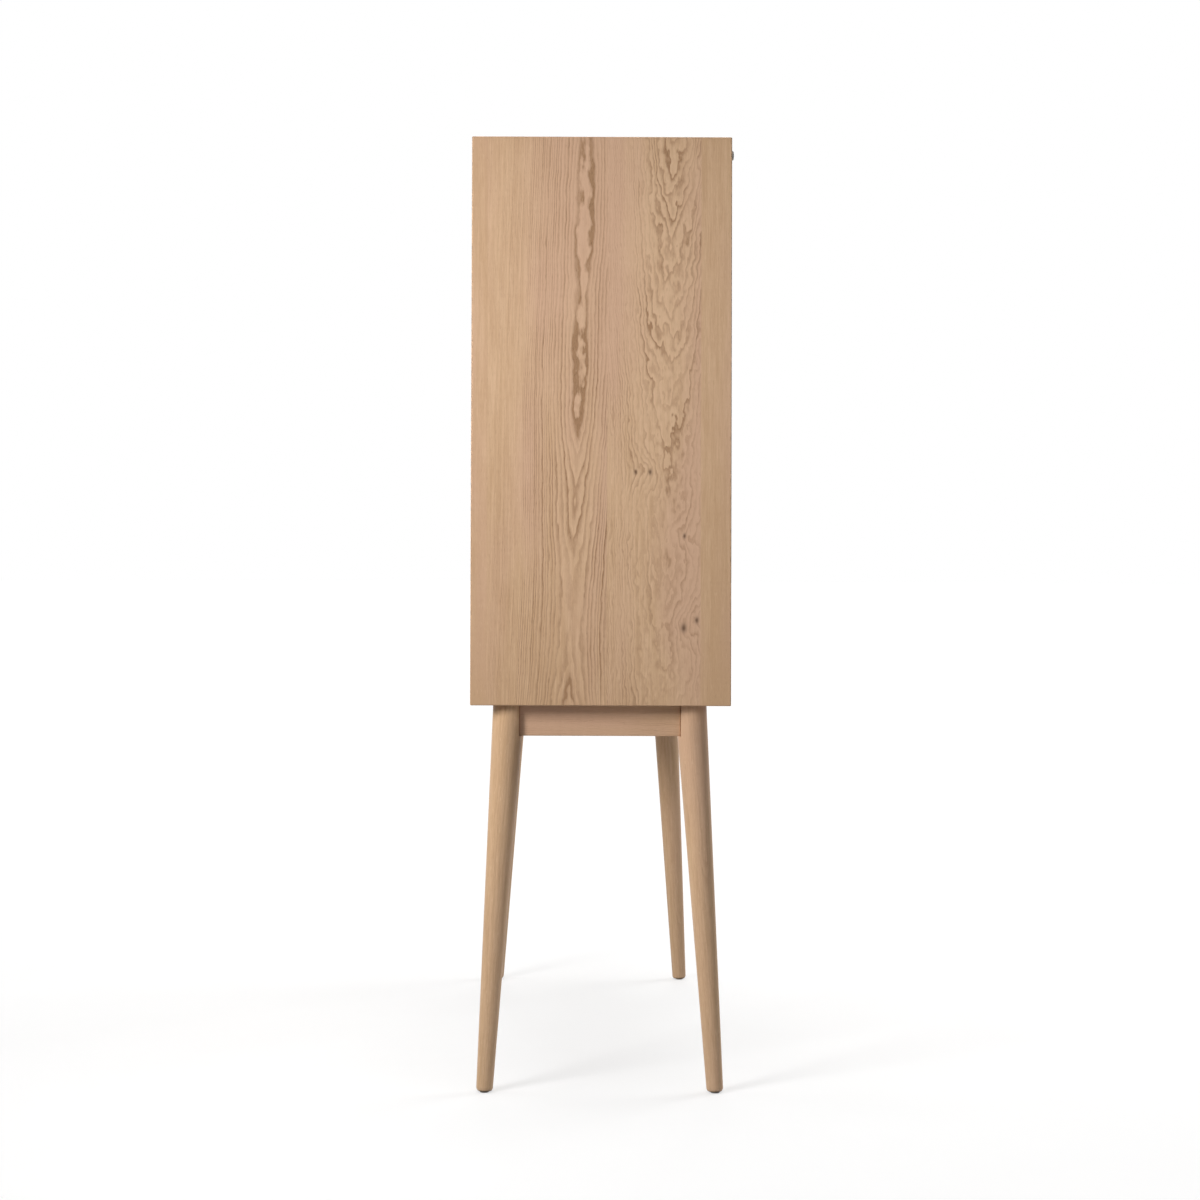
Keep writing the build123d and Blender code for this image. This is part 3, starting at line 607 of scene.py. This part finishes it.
def moulded(name, tint, roughness, grain_mm=0.7, height_mm=0.02, **fixed):
    """Moulded plastic or rubber with a fine spark-eroded grain and faint scuffs."""
    g = Graph(name)
    point = g.position()
    fine = g.noise(point, 1.0 / grain_mm, 3.0, 0.6)
    scuff = g.noise(point, 0.09, 4.0, 0.65)
    dulling = g.math("ADD", g.madd(scuff, 1.4, 0.3), g.mul(fine, 0.25), clamp=True)
    base = g.mix(dulling, tint, darker(tint, 0.82))
    rough = g.add(roughness, g.mul(fine, 0.14), g.mul(scuff, 0.16))
    return g.surface(base, rough, g.add(fine, 0.5), height_mm, **fixed)


BRASS = metal("brass_brushed", colour(0.600, 0.435, 0.215), 0.32, brushed_along=2, mottled=0.5)
BRASS_PIN = metal("brass_pin", colour(0.570, 0.410, 0.205), 0.28, mottled=0.3)
ZINC = metal("zinc_plated", colour(0.440, 0.450, 0.462), 0.38, brushed_along=1)
NICKEL = metal("nickel_plated", colour(0.460, 0.446, 0.420), 0.30)
SCREW = metal("screw_plated", colour(0.460, 0.425, 0.345), 0.34, mottled=0.4)
CATCH = moulded("catch_plastic", colour(0.700, 0.680, 0.630), 0.42, Specular_IOR_Level=0.5)
FERRITE = moulded("magnet_ferrite", colour(0.030, 0.030, 0.032), 0.48, 0.35, 0.03)
NYLON = moulded("glide_nylon", colour(0.560, 0.520, 0.450), 0.40, 1.2, 0.03)
RUBBER = moulded("bumper_rubber", colour(0.560, 0.540, 0.510), 0.55, 0.9, 0.03)

for node in NODES:
    if node.startswith("hinge_pins"):
        paint(node, BRASS_PIN)
    elif node.startswith("hinge_"):
        paint(node, BRASS)
    elif node.startswith("slide_") or node == "anti_tip_bracket":
        paint(node, ZINC)
    elif node.startswith("strike_") or node == "shelf_pins":
        paint(node, NICKEL)
    elif node.endswith("_screws") or node == "frame_bolts":
        paint(node, SCREW)
    elif node == "catch_magnets":
        paint(node, FERRITE)
    elif node.startswith("catch_"):
        paint(node, CATCH)
    elif node == "leg_glides":
        paint(node, NYLON)
    elif node == "wall_bumpers":
        paint(node, RUBBER)


# ---------------------------------------------------------------- studio
WHITE = colour(1.0, 1.0, 1.0)
FLOOR_RADIUS = 60.0          # far enough to meet the white surround at the horizon
FLOOR_SIDES = 96
PAINT_MM = 500.0             # from the middle, the floor is plain paint up to here
WHITE_MM = 3000.0            # and from here it is white

# the camera stands out from the visible side, turned and rolled a little from square
VISIBLE_SIDE = 0.450         # x of the side panel's face
CAMERA = Vector((VISIBLE_SIDE + 3.500, -0.0875, 0.8205))
LENS = 68.5                  # mm
SENSOR = 36.0                # mm
SHIFT = (0.0401, -0.070)     # of the picture's width
PITCH = 0.016                # slopes, not angles
YAW = -0.003
ROLL = 0.0033

# lamps aim at these points
CENTRE = (0.0, 0.0, 0.9)
RIGHT_SIDE = (VISIBLE_SIDE, 0.0, 0.9)
RIGHT_SIDE_ABOVE = (VISIBLE_SIDE, 0.0, 1.04)
LEFT_SIDE = (-0.45, 0.0, 0.9)


def floor_material():
    """Pale paint that turns into the white of the studio some metres away."""
    g = Graph("floor_paint")
    px, py, _ = g.split(g.position())
    away = g.math("SQRT", g.add(g.mul(px, px), g.mul(py, py)))
    glow = g.remap(away, PAINT_MM, WHITE_MM)
    cloud = g.noise(g.position(), 0.004, 3.0)
    base = g.mix(g.madd(cloud, 0.4, 0.4), colour(0.42, 0.42, 0.42), colour(0.38, 0.38, 0.38))
    base = g.mix(glow, base, colour(0.02, 0.02, 0.02))
    material = g.surface(base, g.madd(cloud, 0.1, 0.75), Specular_IOR_Level=0.1)
    shader = next(n for n in g.tree.nodes if n.type == "BSDF_PRINCIPLED")
    shader.inputs["Emission Color"].default_value = WHITE
    g.feed(shader.inputs["Emission Strength"], g.madd(glow, 0.45, 0.55))
    return material


def make_floor():
    """A round floor; the lamp floor_bounce stands for the light that it would throw back up."""
    mesh = bpy.data.meshes.new("studio_floor")
    shape = bmesh.new()
    bmesh.ops.create_circle(shape, cap_ends=True, radius=FLOOR_RADIUS, segments=FLOOR_SIDES)
    shape.to_mesh(mesh)
    shape.free()
    mesh.materials.append(floor_material())
    floor = bpy.data.objects.new("studio_floor", mesh)
    bpy.context.scene.collection.objects.link(floor)
    floor.visible_diffuse = False


def white_world():
    """A white surround that is seen and reflected, but leaves the lighting to the lamps."""
    world = bpy.data.worlds.new("studio")
    bpy.context.scene.world = world
    world.use_nodes = True
    background = world.node_tree.nodes["Background"]
    background.inputs["Color"].default_value = WHITE
    background.inputs["Strength"].default_value = 1.0
    world.cycles_visibility.diffuse = False


def area_light(name, place, target, size, power, spread=180, mirrored=True):
    """A soft lamp; one that isn't mirrored leaves no highlight on a board seen at a low angle."""
    data = bpy.data.lights.new(name, "AREA")
    data.shape = "RECTANGLE"
    data.size, data.size_y = size
    data.energy = power
    data.spread = math.radians(spread)
    light = bpy.data.objects.new(name, data)
    bpy.context.scene.collection.objects.link(light)
    light.location = place
    light.visible_camera = False
    light.visible_glossy = mirrored
    light.rotation_mode = "QUATERNION"
    light.rotation_quaternion = (Vector(target) - Vector(place)).to_track_quat("-Z", "Y")


def make_lamps():
    """A key lamp from the front right, a large soft one overhead, and fills on every side."""
    area_light("key", (1.90, -1.70, 1.45), RIGHT_SIDE_ABOVE, (0.8, 0.8), 18.6, spread=95, mirrored=False)
    area_light("overhead", (0.0, 0.0, 3.8), (0.0, 0.0, 0.0), (3.0, 3.0), 84)
    area_light("side_fill", (3.6, 1.2, 1.6), RIGHT_SIDE, (1.6, 2.0), 10)
    area_light("front_fill", (-0.8, -3.4, 1.9), CENTRE, (2.0, 1.8), 34, mirrored=False)
    area_light("back_fill", (-1.7, 3.2, 2.0), CENTRE, (2.0, 1.8), 86, mirrored=False)
    area_light("left_fill", (-3.6, 0.1, 1.9), LEFT_SIDE, (2.0, 1.8), 48, mirrored=False)
    area_light("floor_bounce", (0.0, 0.0, 0.001), (0.0, 0.0, 1.0), (3.0, 3.0), 16, mirrored=False)


def make_camera():
    """Looks along -X at the right-hand side, a little below the middle of the carcass."""
    look = Vector((-1.0, -YAW, PITCH)).normalized()
    right = look.cross(Z).normalized()
    up = right.cross(look)
    right, up = right + ROLL * up, up - ROLL * right
    data = bpy.data.cameras.new("camera")
    data.lens = LENS
    data.sensor_width = SENSOR
    data.shift_x, data.shift_y = SHIFT
    camera = bpy.data.objects.new("camera", data)
    bpy.context.scene.collection.objects.link(camera)
    axes = Matrix((right.normalized(), up.normalized(), -look)).transposed()
    camera.matrix_world = Matrix.Translation(CAMERA) @ axes.to_4x4()
    bpy.context.scene.camera = camera


make_floor()
white_world()
make_lamps()
make_camera()
bpy.context.scene.view_settings.view_transform = "Standard"
